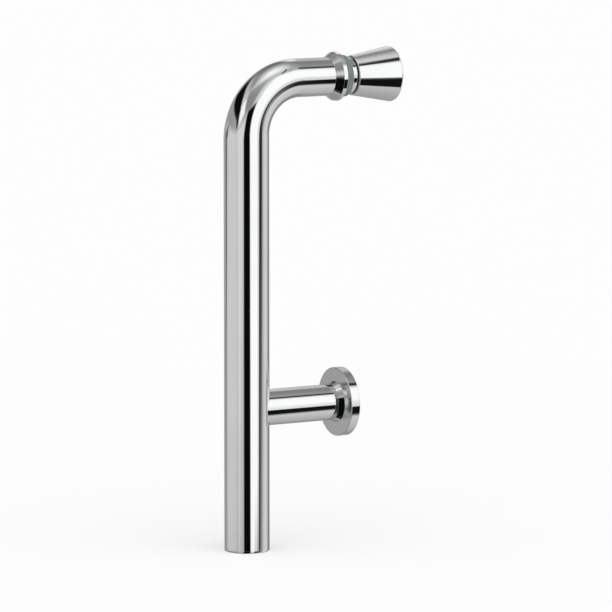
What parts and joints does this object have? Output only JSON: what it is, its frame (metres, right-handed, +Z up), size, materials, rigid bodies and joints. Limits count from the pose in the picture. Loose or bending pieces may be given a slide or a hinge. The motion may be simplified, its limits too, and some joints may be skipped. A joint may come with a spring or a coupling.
{
  "type": "sliding door handle",
  "caption": "Polished pull for a sliding glass door: upright tube bent into an arm with a flared knob through the glass, and a side post with a round rosette.",
  "frame": {"origin": "centre of the rosette's bearing face, in the plane of the glass face on the grip's side", "axes": "+Z up along the grip, +Y out of the bearing face and through the glass to the knob, +X to the right when facing the door"},
  "size_m": [0.0306, 0.0831, 0.2204],
  "materials": {
    "polished_metal": "mirror polished",
    "plug_brass": "turned",
    "soft_ring": "smooth, slightly see-through",
    "plain_steel": "plain",
    "sleeve_plastic": "matt",
    "clear_ring": "smooth, slightly see-through",
    "black_rubber": "matt",
    "pad_rubber": "matt"
  },
  "bodies": {
    "root": {"grip_tube": "polished_metal", "grip_end_cap": "polished_metal", "side_post": "polished_metal", "arm_insert": "plug_brass", "arm_collar": "polished_metal", "arm_gasket": "soft_ring", "through_stud": "plain_steel", "glass_sleeve": "sleeve_plastic", "knob_gasket": "clear_ring", "knob_ring": "polished_metal", "knob_seal": "black_rubber", "knob": "polished_metal", "post_insert": "plug_brass", "post_neck": "polished_metal", "rosette": "polished_metal", "rosette_screw": "plain_steel", "rosette_pad": "pad_rubber"}
  },
  "joints": []
}
